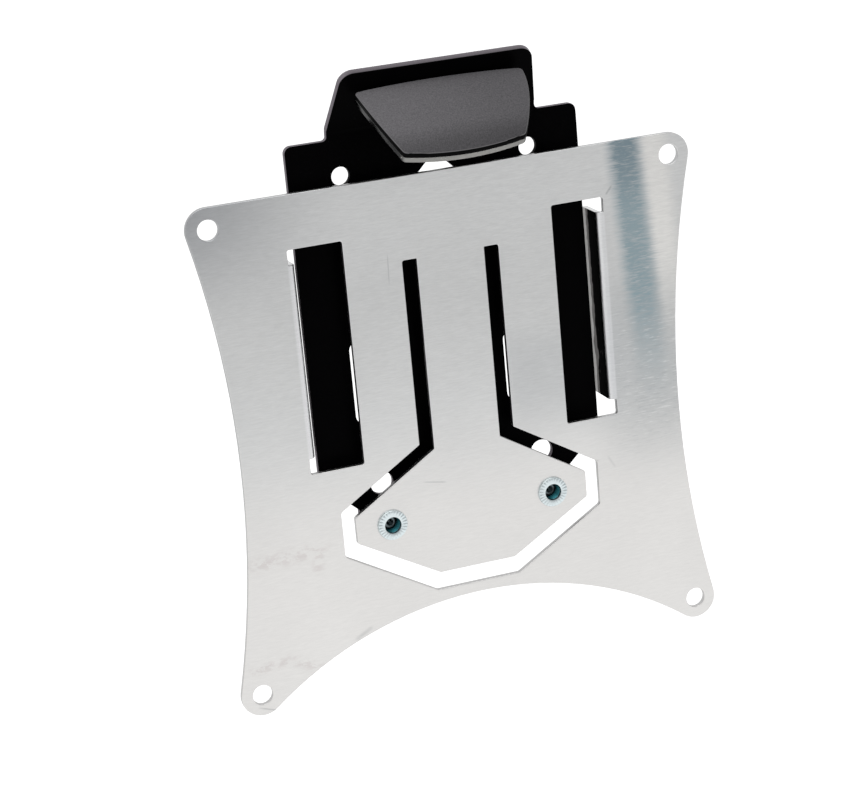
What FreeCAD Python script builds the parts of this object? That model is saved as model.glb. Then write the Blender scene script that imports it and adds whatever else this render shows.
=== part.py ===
import FreeCAD, Part
import math
import os

from FreeCAD import Placement, Rotation, Vector

os.makedirs("parts", exist_ok=True)

# A motorcycle tail tidy: a sheet aluminium carrier for a square number plate, held by two bolts
# on a black sheet steel bracket, with a lamp on the leaning tab at the bracket's top.
# Millimetres. X is to the right as the plate is read, Y runs forward into the motorcycle, Z is up.
# The origin is half way between the two tail bolt holes, on the bracket's rear-facing side.

# Planes that the sheets lie on
sheet_gap = 5.0
carrier_thickness = 2.0
bracket_thickness = 2.5
bracket_back = 0.0
bracket_face = bracket_back - bracket_thickness
carrier_back = bracket_face - sheet_gap
carrier_face = carrier_back - carrier_thickness
carrier_middle_z = -90.0

# Carrier outline: four corner ears about the plate's holes, joined by scallops
plate_hole_pitch = 162.0
plate_hole_radius = 3.5
corner_radius = 7.5
side_waist = 79.2
bottom_waist = 60.8

# Carrier windows, each with a tab bent back from its outer side
window_inner = 37.0
window_bottom = -6.85
window_top = 70.2
window_corner = 0.8
tab_bend_inside = 0.4
tab_start = 55.8
tab_bottom = 0.8
tab_top = 65.0
tab_depth = 11.6

# Tongue and paddle that carry the load, cut free of the ring around them
tongue_half = 12.0
slot_outer = 17.05
slot_top = 60.2
slot_end_radius = 0.8
gap_shoulder = (46.9, -22.4)
gap_flank_bottom = -38.2
gap_floor = (15.1, -57.0)
gap_neck = -4.0
paddle_shoulder = (42.2, -25.2)
paddle_flank_bottom = -34.4
paddle_floor = (13.7, -50.9)
paddle_neck = -6.4
gap_corner = 1.6
paddle_corner = 1.2

# Blind rivet nuts and the bolts that reach them from behind the bracket
link_x = 29.4
link_z = -30.1
nut_flange_radius = 5.25
nut_flange_thickness = 1.0
nut_body_radius = 3.5
nut_bulge_radius = 4.7
nut_bulge_length = 2.6
nut_thread_radius = 2.5
link_hole_radius = 2.8
link_head_radius = 4.25
link_head_height = 5.0
link_socket_flats = 4.0
link_socket_depth = 2.5
link_tip_depth = 3.8
washer_radius = 5.0
washer_thickness = 1.0

# Bracket outline
bracket_half = 51.25
ear_top = 102.3
ear_corner = 2.5
ear_hole_x = 33.0
ear_hole_radius = 3.5
spare_hole_z = -17.2
spare_hole_radius = 4.0
chamfer_top = -13.4
leg_half = 38.4
chamfer_bottom = -25.2
leg_bottom = -38.5
leg_corner = 4.0
root_half = 36.6
opening_corner = 3.0
side_opening = ((18.6, 2.6), (36.1, 5.3), (36.1, 35.6), (18.6, 26.7))
top_opening = ((2.2, 91.3), (10.6, 82.9), (10.6, 74.2), (2.2, 65.8))

# Leaning tab at the bracket's top
lean = 29.4
lean_origin_z = 14.7
lean_bend_inside = 3.0
lean_tab_height = 23.0
lean_tab_top_half = 32.8
lean_tab_corner = 5.0

# Lamp, in the leaning tab's own frame: X across, Y negative out of the tab's face, Z up the tab
gasket_thickness = 1.0
hood_back = 0.4
hood_back_corner = 2.3
hood_back_half = 29.1
hood_middle = (26.9, 15.0)
hood_front_half = 20.8
hood_front_corner_y = 29.3
hood_front_y = 31.1
hood_corner = 1.8
hood_edge_chamfer = 0.4
# The crown's section: distance out of the tab, height up the tab
crown = ((0.0, 17.1), (15.0, 16.85), (32.0, 10.4))
crown_half = 35.0
crown_top = 20.0
skirt_height = 1.7
skin_thickness = 1.5
hood_wall = 1.8
lens_rim_height = 1.8
lens_foot_clearance = 0.3
foot_half = 21.0
foot_front = 5.0
foot_bottom = 1.5
foot_top = 14.5
foot_corner = 2.0
tray_half = 17.5
tray_back = 6.0
tray_front = 24.5
tray_bottom = 4.5
tray_wall = 1.5
tray_ledge = 2.0
board_half = 15.9
board_back = 7.6
board_front = 22.9
board_bottom = 8.0
board_thickness = 1.0
chip_pitch = 9.0
chip_size = (3.5, 2.8, 1.4)
chip_y = 15.2
stud_x = 15.0
stud_z = 7.5
stud_radius = 2.0
stud_depth = 3.2
stud_end = 8.4
stud_hole_radius = 2.2
stud_nut_flats = 7.0
stud_nut_height = 3.2
cable_z = 8.0
cable_bore = 2.6
grommet_neck = 4.2
grommet_flange = 6.2
grommet_flange_thickness = 1.4


def at(x, z, y):
    """A point of a front view outline, with z measured from the middle of the plate's holes."""
    return Vector(x, y, z + carrier_middle_z)


def mirrored(corners):
    """A closed outline from its right half, listed from top to bottom along the right side."""
    return list(corners) + [(-c[0],) + tuple(c[1:]) for c in reversed(corners)]


def rounded(points, radii):
    """A closed wire through the points, each corner an arc of its own radius."""
    count = len(points)
    edges = []
    joints = []
    for i in range(count):
        corner = points[i]
        back = points[i - 1] - corner
        ahead = points[(i + 1) % count] - corner
        back.normalize()
        ahead.normalize()
        opening = back.getAngle(ahead)
        reach = radii[i] / math.tan(opening / 2)
        bisector = back + ahead
        bisector.normalize()
        centre = corner + bisector * (radii[i] / math.sin(opening / 2))
        start = corner + back * reach
        end = corner + ahead * reach
        middle = centre - bisector * radii[i]
        joints.append((start, middle, end))
    for i in range(count):
        start, middle, end = joints[i]
        if radii[i] > 0:
            edges.append(Part.Arc(start, middle, end).toShape())
        following = joints[(i + 1) % count][0]
        edges.append(Part.LineSegment(end, following).toShape())
    return Part.Wire(edges)


def front_slab(corners, radius, y, thickness):
    """A sheet cut to a front view outline, from the plane y forward by its thickness."""
    wire = rounded([at(c[0], c[1], y) for c in corners], [radius] * len(corners))
    return Part.Face(wire).extrude(Vector(0, thickness, 0))


def disc(x, y, z, radius, length):
    """A cylinder along Y."""
    return Part.makeCylinder(radius, length, Vector(x, y, z), Vector(0, 1, 0))


def ring(x, y, z, outer, inner, length):
    """A plain washer along Y."""
    return disc(x, y, z, outer, length).cut(disc(x, y, z, inner, length))


def turned(profile, x, z):
    """A turned piece about an axis along Y, from pairs of radius and y."""
    points = [Vector(radius, y, 0) for radius, y in profile]
    section = Part.Face(Part.makePolygon(points + points[:1]))
    piece = section.revolve(Vector(0, 0, 0), Vector(0, 1, 0), 360)
    piece.translate(Vector(x, 0, z))
    return piece


def hexagon(x, y, z, flats, length):
    """A hexagonal prism along Y, flats up and down."""
    corner = flats / math.sqrt(3)
    points = []
    for i in range(7):
        angle = math.radians(60 * i)
        points.append(Vector(x + corner * math.cos(angle), y, z + corner * math.sin(angle)))
    return Part.Face(Part.makePolygon(points)).extrude(Vector(0, length, 0))


def scallop_radius(step, half):
    """Radius of the arc that bows in to the waist, step inside the line of the holes, and is
    tangent to both corner rounds, half away along that line."""
    return (step ** 2 + half ** 2 - corner_radius ** 2) / (2 * (corner_radius + step))


def corner_arc(centre_x, centre_z, first, last):
    """Start, middle and end of a corner round on the carrier's face, between two angles."""
    points = []
    for angle in (first, (first + last) / 2, last):
        x = centre_x + corner_radius * math.cos(angle)
        z = centre_z + corner_radius * math.sin(angle)
        points.append(at(x, z, carrier_face))
    return points


def flipped(points):
    """An arc's points on the other side of the middle, in the order that follows the outline."""
    return [Vector(-point.x, point.y, point.z) for point in reversed(points)]


def carrier_outline():
    """Top edge, corner rounds about the holes and the three scallops that are tangent to them."""
    half = plate_hole_pitch / 2
    y = carrier_face
    side_centre = side_waist + scallop_radius(half - side_waist, half)
    floor_centre = -bottom_waist - scallop_radius(half - bottom_waist, half)
    side_angle = math.atan2(-half, side_centre - half)
    floor_angle = math.atan2(floor_centre + half, -half)
    top_right = corner_arc(half, half, math.pi / 2, side_angle)
    low_right = corner_arc(half, -half, -side_angle, floor_angle)
    low_left = flipped(low_right)
    top_left = flipped(top_right)
    arcs = [top_right, [top_right[2], at(side_waist, 0, y), low_right[0]], low_right,
            [low_right[2], at(0, -bottom_waist, y), low_left[0]], low_left,
            [low_left[2], at(-side_waist, 0, y), top_left[0]], top_left]
    edges = [Part.Arc(*points).toShape() for points in arcs]
    edges.append(Part.LineSegment(top_left[2], top_right[0]).toShape())
    return Part.Face(Part.Wire(edges)).extrude(Vector(0, carrier_thickness, 0))


def side_window(side):
    """The window beside the tongue, its outer side the line where the tab starts to bend."""
    corners = [(window_inner, window_top), (tab_start, window_top),
               (tab_start, window_bottom), (window_inner, window_bottom)]
    corners = [(side * x, z) for x, z in corners]
    return front_slab(corners, window_corner, carrier_face, carrier_thickness)


def load_gap():
    """The cut that frees the tongue and paddle: two slots that open into a ring shaped gap."""
    outer = mirrored([(slot_outer, slot_top), (slot_outer, gap_neck), gap_shoulder,
                      (gap_shoulder[0], gap_flank_bottom), gap_floor])
    inner = mirrored([(tongue_half, slot_top + 5), (tongue_half, paddle_neck), paddle_shoulder,
                      (paddle_shoulder[0], paddle_flank_bottom), paddle_floor])
    outer_radii = [slot_end_radius, 0.0, gap_corner, gap_corner, gap_corner]
    inner_radii = [0.0, 0.0, paddle_corner, paddle_corner, paddle_corner]
    outer_wire = rounded([at(x, z, carrier_face) for x, z in outer], outer_radii + outer_radii[::-1])
    inner_wire = rounded([at(x, z, carrier_face) for x, z in inner], inner_radii + inner_radii[::-1])
    depth = Vector(0, carrier_thickness, 0)
    return Part.Face(outer_wire).extrude(depth).cut(Part.Face(inner_wire).extrude(depth))


def bent_tab(side):
    """A tab folded straight back from the window's outer side."""
    outside = tab_bend_inside + carrier_thickness
    height = tab_top - tab_bottom
    start = at(tab_start, tab_bottom, carrier_face)
    section = Part.makePolygon([start, start + Vector(0, carrier_thickness, 0),
                                start + Vector(0, carrier_thickness, height),
                                start + Vector(0, 0, height), start])
    axis = start + Vector(0, outside, 0)
    bend = Part.Face(section).revolve(axis, Vector(0, 0, 1), -90)
    length = tab_depth - outside
    leaf = Part.makeBox(carrier_thickness, length, height,
                        Vector(tab_start - outside, carrier_face + outside, start.z))
    tab = bend.fuse(leaf)
    if side < 0:
        tab = tab.mirror(Vector(0, 0, 0), Vector(1, 0, 0))
    return tab


def plate_carrier():
    """The aluminium sheet: outline, cuts, plate holes, rivet nut holes and the two bent tabs."""
    sheet = carrier_outline()
    sheet = sheet.cut(load_gap())
    half = plate_hole_pitch / 2
    for side in (-1, 1):
        sheet = sheet.cut(side_window(side))
        for height in (-half, half):
            z = height + carrier_middle_z
            sheet = sheet.cut(disc(side * half, carrier_face, z, plate_hole_radius, carrier_thickness))
        z = link_z + carrier_middle_z
        sheet = sheet.cut(disc(side * link_x, carrier_face, z, nut_body_radius, carrier_thickness))
        sheet = sheet.fuse(bent_tab(side))
    return sheet.removeSplitter()


def bracket_plate(bend_z):
    """The bracket's flat plate up to the height where its tab starts to bend."""
    neck = bend_z - carrier_middle_z
    corners = mirrored([(root_half, neck), (root_half, ear_top), (bracket_half, ear_top),
                        (bracket_half, chamfer_top), (leg_half, chamfer_bottom), (leg_half, leg_bottom)])
    root_round = (neck - ear_top) * 0.9
    radii = [0.0, root_round, ear_corner, 0.0, 0.0, leg_corner]
    wire = rounded([at(x, z, bracket_face) for x, z in corners], radii + radii[::-1])
    plate = Part.Face(wire).extrude(Vector(0, bracket_thickness, 0))
    plate = plate.cut(front_slab(mirrored(top_opening), 0.0, bracket_face, bracket_thickness))
    holes = [(ear_hole_x, -carrier_middle_z, ear_hole_radius),
             (link_x, spare_hole_z, spare_hole_radius),
             (link_x, link_z, link_hole_radius)]
    for side in (-1, 1):
        opening = [(side * x, z) for x, z in side_opening]
        plate = plate.cut(front_slab(opening, opening_corner, bracket_face, bracket_thickness))
        for x, z, radius in holes:
            hole = disc(side * x, bracket_face, z + carrier_middle_z, radius, bracket_thickness)
            plate = plate.cut(hole)
    return plate


def bracket_bend(bend_z):
    """The curved strip between the flat plate and the leaning tab."""
    corners = [Vector(-root_half, bracket_face, bend_z), Vector(root_half, bracket_face, bend_z),
               Vector(root_half, bracket_back, bend_z), Vector(-root_half, bracket_back, bend_z)]
    section = Part.Face(Part.makePolygon(corners + corners[:1]))
    axis = Vector(0, bracket_face - lean_bend_inside, bend_z)
    return section.revolve(axis, Vector(1, 0, 0), lean)


def leaning_tab(start):
    """The tab from the height start upwards, in its own frame, with stud and cable holes."""
    corners = [Vector(root_half, 0, start), Vector(lean_tab_top_half, 0, lean_tab_height),
               Vector(-lean_tab_top_half, 0, lean_tab_height), Vector(-root_half, 0, start)]
    wire = rounded(corners, [0.0, lean_tab_corner, lean_tab_corner, 0.0])
    tab = Part.Face(wire).extrude(Vector(0, bracket_thickness, 0))
    for side in (-1, 1):
        tab = tab.cut(disc(side * stud_x, 0, stud_z, stud_hole_radius, bracket_thickness))
    return tab.cut(disc(0, 0, cable_z, grommet_neck, bracket_thickness))


def tail_bracket():
    """Flat plate with ears, chamfered foot and openings, and the tab that leans out at the top."""
    tangent = lean_bend_inside * math.tan(math.radians(lean) / 2)
    bend_z = lean_origin_z - tangent
    pieces = [bracket_bend(bend_z), on_tab(leaning_tab(tangent))]
    return bracket_plate(bend_z).fuse(pieces).removeSplitter()


def on_tab(shape):
    """A shape moved from the leaning tab's own frame to its place on the bracket."""
    placed = shape.copy()
    place = Placement(Vector(0, bracket_face, lean_origin_z), Rotation(Vector(1, 0, 0), lean))
    placed.Placement = place.multiply(placed.Placement)
    return placed


def rivet_nut(side):
    """Flange on the carrier's face, upset bulge behind it and a threaded end against the bracket."""
    flange_face = carrier_face - nut_flange_thickness
    profile = [(nut_thread_radius, flange_face),
               (nut_flange_radius, flange_face),
               (nut_flange_radius, carrier_face),
               (nut_body_radius, carrier_face),
               (nut_body_radius, carrier_back),
               (nut_bulge_radius, carrier_back),
               (nut_body_radius, carrier_back + nut_bulge_length),
               (nut_body_radius, bracket_face),
               (nut_thread_radius, bracket_face)]
    return turned(profile, side * link_x, link_z + carrier_middle_z)


def link_bolt(side):
    """A socket head bolt from behind: head, washer, bracket, then the rivet nut's thread."""
    seat = bracket_back + washer_thickness
    top = seat + link_head_height
    tip = carrier_face - nut_flange_thickness + link_tip_depth
    profile = [(0, tip),
               (nut_thread_radius, tip),
               (nut_thread_radius, seat),
               (link_head_radius, seat),
               (link_head_radius, top),
               (0, top)]
    x = side * link_x
    z = link_z + carrier_middle_z
    socket = hexagon(x, top - link_socket_depth, z, link_socket_flats, link_socket_depth)
    return turned(profile, x, z).cut(socket)


def link_washer(side):
    """The flat washer between the bracket and the bolt's head."""
    z = link_z + carrier_middle_z
    return ring(side * link_x, bracket_back, z, washer_radius, nut_thread_radius, washer_thickness)


def hood_plan(inset):
    """The lamp's plan: a slightly bowed back, sides that close in and a bowed front."""
    back_half = hood_back_half - inset
    front_half = hood_front_half - inset
    back = -hood_back_corner - inset
    front_corner = -hood_front_corner_y + inset
    right_back = Vector(back_half, back, 0)
    left_back = Vector(-back_half, back, 0)
    right_front = Vector(front_half, front_corner, 0)
    left_front = Vector(-front_half, front_corner, 0)
    right_middle = Vector(hood_middle[0] - inset, -hood_middle[1], 0)
    left_middle = Vector(-hood_middle[0] + inset, -hood_middle[1], 0)
    nose = Vector(0, -hood_front_y + inset, 0)
    edges = [Part.Arc(right_back, right_middle, right_front).toShape(),
             Part.Arc(right_front, nose, left_front).toShape(),
             Part.Arc(left_front, left_middle, left_back).toShape(),
             Part.Arc(left_back, Vector(0, -hood_back - inset, 0), right_back).toShape()]
    block = Part.Face(Part.Wire(edges)).extrude(Vector(0, 0, crown_top))
    if inset > 0:
        return block
    upright = [edge for edge in block.Edges if edge.BoundBox.ZLength > crown_top / 2]
    return block.makeFillet(hood_corner, upright)


def crown_arc(drop):
    """The crown's section moved down by drop, at the lamp's left end."""
    first, middle, last = [Vector(-crown_half, -y, z - drop) for y, z in crown]
    return Part.Arc(first, middle, last).toShape()


def crowned_layer(upper, lower):
    """Everything between the lamp's crowned top moved down by upper and by lower."""
    top = crown_arc(upper)
    bottom = crown_arc(lower)
    back = Part.LineSegment(bottom.firstVertex().Point, top.firstVertex().Point).toShape()
    front = Part.LineSegment(top.lastVertex().Point, bottom.lastVertex().Point).toShape()
    section = Part.Face(Part.Wire(Part.sortEdges([top, front, bottom, back])[0]))
    return section.extrude(Vector(2 * crown_half, 0, 0))


def ease_crown_edges(shell):
    """The hood with the edge all round its crowned top chamfered."""
    top = crown_arc(0).extrude(Vector(2 * crown_half, 0, 0))
    chosen = []
    for edge in shell.Edges:
        middle = edge.valueAt((edge.FirstParameter + edge.LastParameter) / 2)
        if Part.Vertex(middle).distToShape(top)[0] < 1e-3:
            chosen.append(edge)
    return shell.makeChamfer(hood_edge_chamfer, chosen)


def lamp_box(half, back, front, bottom, top):
    """A block of the lamp from the tab outwards, centred across."""
    return Part.makeBox(2 * half, front - back, top - bottom, Vector(-half, -front, bottom))


def foot_sheet(thickness, start, grow, top):
    """A rounded upright block of the foot's outline, from the distance start outwards."""
    half = foot_half + grow
    bottom = foot_bottom - grow
    corners = [Vector(half, -start, top), Vector(half, -start, bottom),
               Vector(-half, -start, bottom), Vector(-half, -start, top)]
    wire = rounded(corners, [0.0, foot_corner + grow, foot_corner + grow, 0.0])
    return Part.Face(wire).extrude(Vector(0, -thickness, 0))


def light_housing():
    """The crowned hood with its skirt, hollow below, and the upright foot that bolts to the tab."""
    shell = ease_crown_edges(hood_plan(0).common(crowned_layer(0, skirt_height)))
    hollow = hood_plan(hood_wall).common(crowned_layer(skin_thickness, skirt_height))
    shell = shell.cut(hollow)
    foot = foot_sheet(foot_front - gasket_thickness, gasket_thickness, 0, crown[0][1])
    foot = foot.common(crowned_layer(skin_thickness / 2, crown_top))
    housing = shell.fuse(foot)
    for side in (-1, 1):
        socket = disc(side * stud_x, -gasket_thickness - stud_depth, stud_z, stud_radius, stud_depth)
        housing = housing.cut(socket)
    housing = housing.cut(disc(0, -foot_front, cable_z, cable_bore, foot_front))
    return on_tab(housing.removeSplitter())


def light_lens():
    """Clear rim under the skirt and a tray below it, with a ledge for the circuit board."""
    rim = hood_plan(0).common(crowned_layer(skirt_height, skirt_height + lens_rim_height))
    foot_room = foot_sheet(foot_front + lens_foot_clearance, 0, lens_foot_clearance, crown[0][1])
    rim = rim.cut(foot_room)
    tray = lamp_box(tray_half, tray_back, tray_front, tray_bottom, crown_top)
    tray = tray.common(crowned_layer(skirt_height + lens_rim_height / 2, 2 * crown_top))
    lens = rim.fuse(tray)
    pocket = lamp_box(tray_half - tray_wall, tray_back + tray_wall, tray_front - tray_wall,
                      board_bottom, crown_top)
    step = tray_wall + tray_ledge
    well = lamp_box(tray_half - step, tray_back + step, tray_front - step,
                    tray_bottom + tray_wall, crown_top)
    lens = lens.cut(pocket.fuse(well))
    return on_tab(lens.removeSplitter())


def light_circuit_board():
    """The board that rests on the tray's ledge."""
    top = board_bottom + board_thickness
    return on_tab(lamp_box(board_half, board_back, board_front, board_bottom, top))


def light_chip(place):
    """One light emitting chip under the board."""
    width, depth, height = chip_size
    corner = Vector(place * chip_pitch - width / 2, -chip_y - depth / 2, board_bottom - height)
    return on_tab(Part.makeBox(width, depth, height, corner))


def light_gasket():
    """The rubber sheet between the lamp's foot and the leaning tab."""
    gasket = foot_sheet(gasket_thickness, 0, 0, foot_top)
    for side in (-1, 1):
        hole = disc(side * stud_x, -gasket_thickness, stud_z, stud_hole_radius, gasket_thickness)
        gasket = gasket.cut(hole)
    gasket = gasket.cut(disc(0, -gasket_thickness, cable_z, grommet_neck, gasket_thickness))
    return on_tab(gasket)


def light_stud(side):
    """A stud moulded into the lamp's foot, long enough for the nut behind the tab."""
    start = -gasket_thickness - stud_depth
    return on_tab(disc(side * stud_x, start, stud_z, stud_radius, stud_end - start))


def light_nut(side):
    """The nut behind the leaning tab."""
    x = side * stud_x
    y = bracket_thickness
    nut = hexagon(x, y, stud_z, stud_nut_flats, stud_nut_height)
    return on_tab(nut.cut(disc(x, y, stud_z, stud_radius, stud_nut_height)))


def cable_grommet():
    """Rubber bush through the gasket and the tab's cable hole, with a flange behind the tab."""
    start = -gasket_thickness
    end = bracket_thickness + grommet_flange_thickness
    neck = disc(0, start, cable_z, grommet_neck, end - start)
    flange = disc(0, bracket_thickness, cable_z, grommet_flange, grommet_flange_thickness)
    return on_tab(neck.fuse(flange).cut(disc(0, start, cable_z, cable_bore, end - start)))


def save(name, shape):
    """Write one sub-part and print what it holds."""
    shape.exportStep("parts/" + name + ".step")
    print(name, "solids", len(shape.Solids), "valid", shape.isValid(), "volume", round(shape.Volume, 1))


save("plate_carrier", plate_carrier())
save("tail_bracket", tail_bracket())
for label, side in (("left", -1), ("right", 1)):
    save("rivet_nut_" + label, rivet_nut(side))
    save("link_bolt_" + label, link_bolt(side))
    save("link_washer_" + label, link_washer(side))
    save("light_stud_" + label, light_stud(side))
    save("light_nut_" + label, light_nut(side))
save("light_housing", light_housing())
save("light_lens", light_lens())
save("light_circuit_board", light_circuit_board())
for label, place in (("left", -1), ("middle", 0), ("right", 1)):
    save("light_chip_" + label, light_chip(place))
save("light_gasket", light_gasket())
save("cable_grommet", cable_grommet())
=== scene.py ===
import math

import bpy
from bpy.props import FloatProperty, FloatVectorProperty, IntProperty, PointerProperty
from mathutils import Matrix, Vector


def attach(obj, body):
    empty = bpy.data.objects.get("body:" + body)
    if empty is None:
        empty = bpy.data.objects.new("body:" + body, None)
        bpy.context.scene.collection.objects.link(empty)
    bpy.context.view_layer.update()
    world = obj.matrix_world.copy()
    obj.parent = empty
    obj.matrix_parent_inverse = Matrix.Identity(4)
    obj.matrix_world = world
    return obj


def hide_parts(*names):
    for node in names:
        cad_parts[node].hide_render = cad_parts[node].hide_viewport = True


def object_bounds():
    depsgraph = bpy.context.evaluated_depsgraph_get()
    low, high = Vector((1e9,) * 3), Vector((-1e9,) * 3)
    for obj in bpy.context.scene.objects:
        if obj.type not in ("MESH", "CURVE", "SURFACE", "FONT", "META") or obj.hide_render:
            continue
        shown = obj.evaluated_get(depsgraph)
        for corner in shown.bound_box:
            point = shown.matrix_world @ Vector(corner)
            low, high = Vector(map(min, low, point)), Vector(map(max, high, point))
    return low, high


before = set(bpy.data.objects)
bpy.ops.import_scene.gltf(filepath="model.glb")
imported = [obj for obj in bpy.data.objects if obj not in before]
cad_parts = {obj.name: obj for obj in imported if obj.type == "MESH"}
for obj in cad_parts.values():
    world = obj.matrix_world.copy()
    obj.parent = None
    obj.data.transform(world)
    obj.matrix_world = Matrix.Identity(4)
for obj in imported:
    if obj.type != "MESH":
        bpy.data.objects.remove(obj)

cad_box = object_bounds()

bl_info = {
    "name": "Tail Tidy Looks",
    "version": (1, 0, 0),
    "blender": (4, 5, 0),
    "location": "View3D > Sidebar > Tail Tidy",
    "description": "Finishes the plate carrier, bracket, fasteners and plate lamp of a tail tidy",
    "category": "Object",
}

MM = 0.001

# Where the photograph was taken from: the camera's place and its right, up and backward directions
CAMERA_PLACE = Vector((-0.2586, -0.7591, 0.1652))
CAMERA_RIGHT = Vector((0.9371, -0.3374, -0.0890))
CAMERA_UP = Vector((0.1805, 0.2504, 0.9512))
CAMERA_BACK = Vector((-0.2986, -0.9074, 0.2956))
SENSOR_WIDTH = 36.0
FOCAL_LENGTH = 102.83

# Places that the finished pieces share with the CAD source, in millimetres and degrees
LINK_X = 29.4
LINK_Z = -120.1
STUD_X = 15.0
STUD_Z = 7.5
EAR_HOLE_X = 33.0
TAB_INSIDE = 53.4
TAB_OUTSIDE = 55.8
TAB_REAR = 2.1
TAB_BOTTOM = -89.2
LEAN = 29.4
LEAN_Y = -2.5
LEAN_Z = 14.7
CHIP_PITCH = 9.0
CHIP_SIZE = (3.5, 2.8, 1.4)
CHIP_Y = 15.2
BOARD_BOTTOM = 8.0
NUT_FLATS = 7.0
SOCKET_FLATS = 4.0

# Where the photograph shows a little more or less than the CAD source has, lengths in millimetres
EAR_HOLE_SCALE = 0.9
TAB_DEEPER = 1.4
TAB_LONGER = 2.3

# Small details that the CAD source leaves out, lengths in millimetres
NOTCH_START = 4.7
FLANGE_FRONT = -10.1
KNURL_SCALE = 0.965
CHIP_ROUND = 0.12
WINDOW_BORDER = 0.35
WINDOW_DEPTH = 0.25

# How far a point may lie from a chosen plane, in millimetres, and from its double, in metres
SLACK = 0.1
MERGE_DISTANCE = 0.000002

# Middle, half length, half width and slope of each faint stain low on the carrier's left
STAINS = (
    ((-67.0, -124.2), 18.0, 4.5, 3),
    ((-56.5, -127.0), 6.0, 3.5, 80),
    ((-77.0, -161.3), 10.0, 3.0, 6),
    ((-64.5, -163.6), 10.0, 3.0, -28),
)

# Middle, half length, half width, slope and strength of each scratch or smudge on the carrier
SCRATCHES = (
    ((-12.8, -108.1), 5.0, 0.30, -11, 0.45),
    ((-22.1, -32.0), 6.0, 0.30, 88, 0.35),
    ((-43.3, -156.9), 4.5, 1.2, 28, 0.24),
    ((58.2, -17.8), 2.2, 0.6, 50, 0.45),
    ((52.3, -113.7), 3.2, 0.7, -60, 0.16),
    ((-79.0, -176.8), 5.0, 0.5, -20, 0.40),
)


class SheetSettings(bpy.types.PropertyGroup):
    """Sizes and colours of the two sheet metal parts."""

    carrier_edge: FloatProperty(
        name="Carrier edge", description="Round left on the carrier's edges by deburring",
        default=0.28 * MM, unit="LENGTH")
    carrier_color: FloatVectorProperty(
        name="Aluminium", description="Tone of the rolled aluminium sheet",
        subtype="COLOR", size=3, min=0.0, max=1.0, default=(0.82, 0.81, 0.795))
    carrier_roughness: FloatProperty(
        name="Aluminium roughness", description="Roughness of the rolled face",
        default=0.34, min=0.0, max=1.0)
    bracket_edge: FloatProperty(
        name="Bracket edge", description="Round of the coated bracket's edges",
        default=0.35 * MM, unit="LENGTH")
    coat_color: FloatVectorProperty(
        name="Black coat", description="Powder coat on the bracket's faces",
        subtype="COLOR", size=3, min=0.0, max=1.0, default=(0.0010, 0.0009, 0.0011))
    # Painted highlight: the greyer tone given to the bracket's cut edges
    painted_edge_highlight_color: FloatVectorProperty(
        name="Coat at the edges", description="Powder coat where it thins over the cut edges",
        subtype="COLOR", size=3, min=0.0, max=1.0, default=(0.255, 0.232, 0.256))


class FastenerSettings(bpy.types.PropertyGroup):
    """Sizes and colours of nuts, bolts, studs and washers."""

    zinc_color: FloatVectorProperty(
        name="Zinc plating", description="Pale blue passivated zinc",
        subtype="COLOR", size=3, min=0.0, max=1.0, default=(0.78, 0.86, 0.88))
    # Painted shade down the rivet nuts' bores
    bore_shade_color: FloatVectorProperty(
        name="Zinc in the bore", description="Darker blue zinc inside the rivet nuts",
        subtype="COLOR", size=3, min=0.0, max=1.0, default=(0.02, 0.11, 0.13))
    flange_notches: IntProperty(
        name="Flange notches", description="Radial notches round each rivet nut's flange",
        default=26, min=6, max=60)
    notch_depth: FloatProperty(
        name="Notch depth", description="Depth of the flange notches",
        default=0.20 * MM, unit="LENGTH")
    nut_bore: FloatProperty(
        name="Rivet nut bore", description="Radius of the plain bore behind the flange",
        default=2.8 * MM, unit="LENGTH")
    large_pitch: FloatProperty(
        name="Large pitch", description="Thread pitch of the link bolts",
        default=0.8 * MM, unit="LENGTH")
    small_pitch: FloatProperty(
        name="Small pitch", description="Thread pitch of the lamp's studs",
        default=0.7 * MM, unit="LENGTH")


class LampSettings(bpy.types.PropertyGroup):
    """Sizes and colours of the plate lamp."""

    # Painted light: the hood's upward faces are given this lighter grey
    lit_crown_color: FloatVectorProperty(
        name="Hood top", description="Grained black plastic of the crowned top",
        subtype="COLOR", size=3, min=0.0, max=1.0, default=(0.128, 0.124, 0.131))
    skirt_color: FloatVectorProperty(
        name="Hood skirt", description="Smooth black plastic of the skirt and foot",
        subtype="COLOR", size=3, min=0.0, max=1.0, default=(0.0022, 0.0022, 0.0024))
    lens_color: FloatVectorProperty(
        name="Lens", description="Clear plastic of the lens",
        subtype="COLOR", size=3, min=0.0, max=1.0, default=(0.80, 0.79, 0.76))
    rubber_color: FloatVectorProperty(
        name="Rubber", description="Gasket and grommet",
        subtype="COLOR", size=3, min=0.0, max=1.0, default=(0.012, 0.012, 0.013))


class StageSettings(bpy.types.PropertyGroup):
    """Floor and light."""

    floor_drop: FloatProperty(
        name="Floor drop", description="Height of the carrier's lowest point over the floor",
        default=0.16, unit="LENGTH")
    key_power: FloatProperty(
        name="Overhead light", description="Power of the soft light overhead, in watts",
        default=3.2, min=0.0)
    world_level: FloatProperty(
        name="Room light", description="Strength of the even light from all round",
        default=0.55, min=0.0)


def deselect():
    """Nothing selected, in object mode."""
    active = bpy.context.view_layer.objects.active
    if active is not None and active.mode != "OBJECT":
        bpy.ops.object.mode_set(mode="OBJECT")
    bpy.ops.object.select_all(action="DESELECT")


def make_active(piece):
    """Only this piece selected and active."""
    deselect()
    piece.select_set(True)
    bpy.context.view_layer.objects.active = piece


def apply_modifier(piece, kind, **values):
    """Add a modifier with these values and apply it."""
    make_active(piece)
    modifier = piece.modifiers.new(kind.lower(), kind)
    for name, value in values.items():
        setattr(modifier, name, value)
    bpy.ops.object.modifier_apply(modifier=modifier.name)


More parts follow.
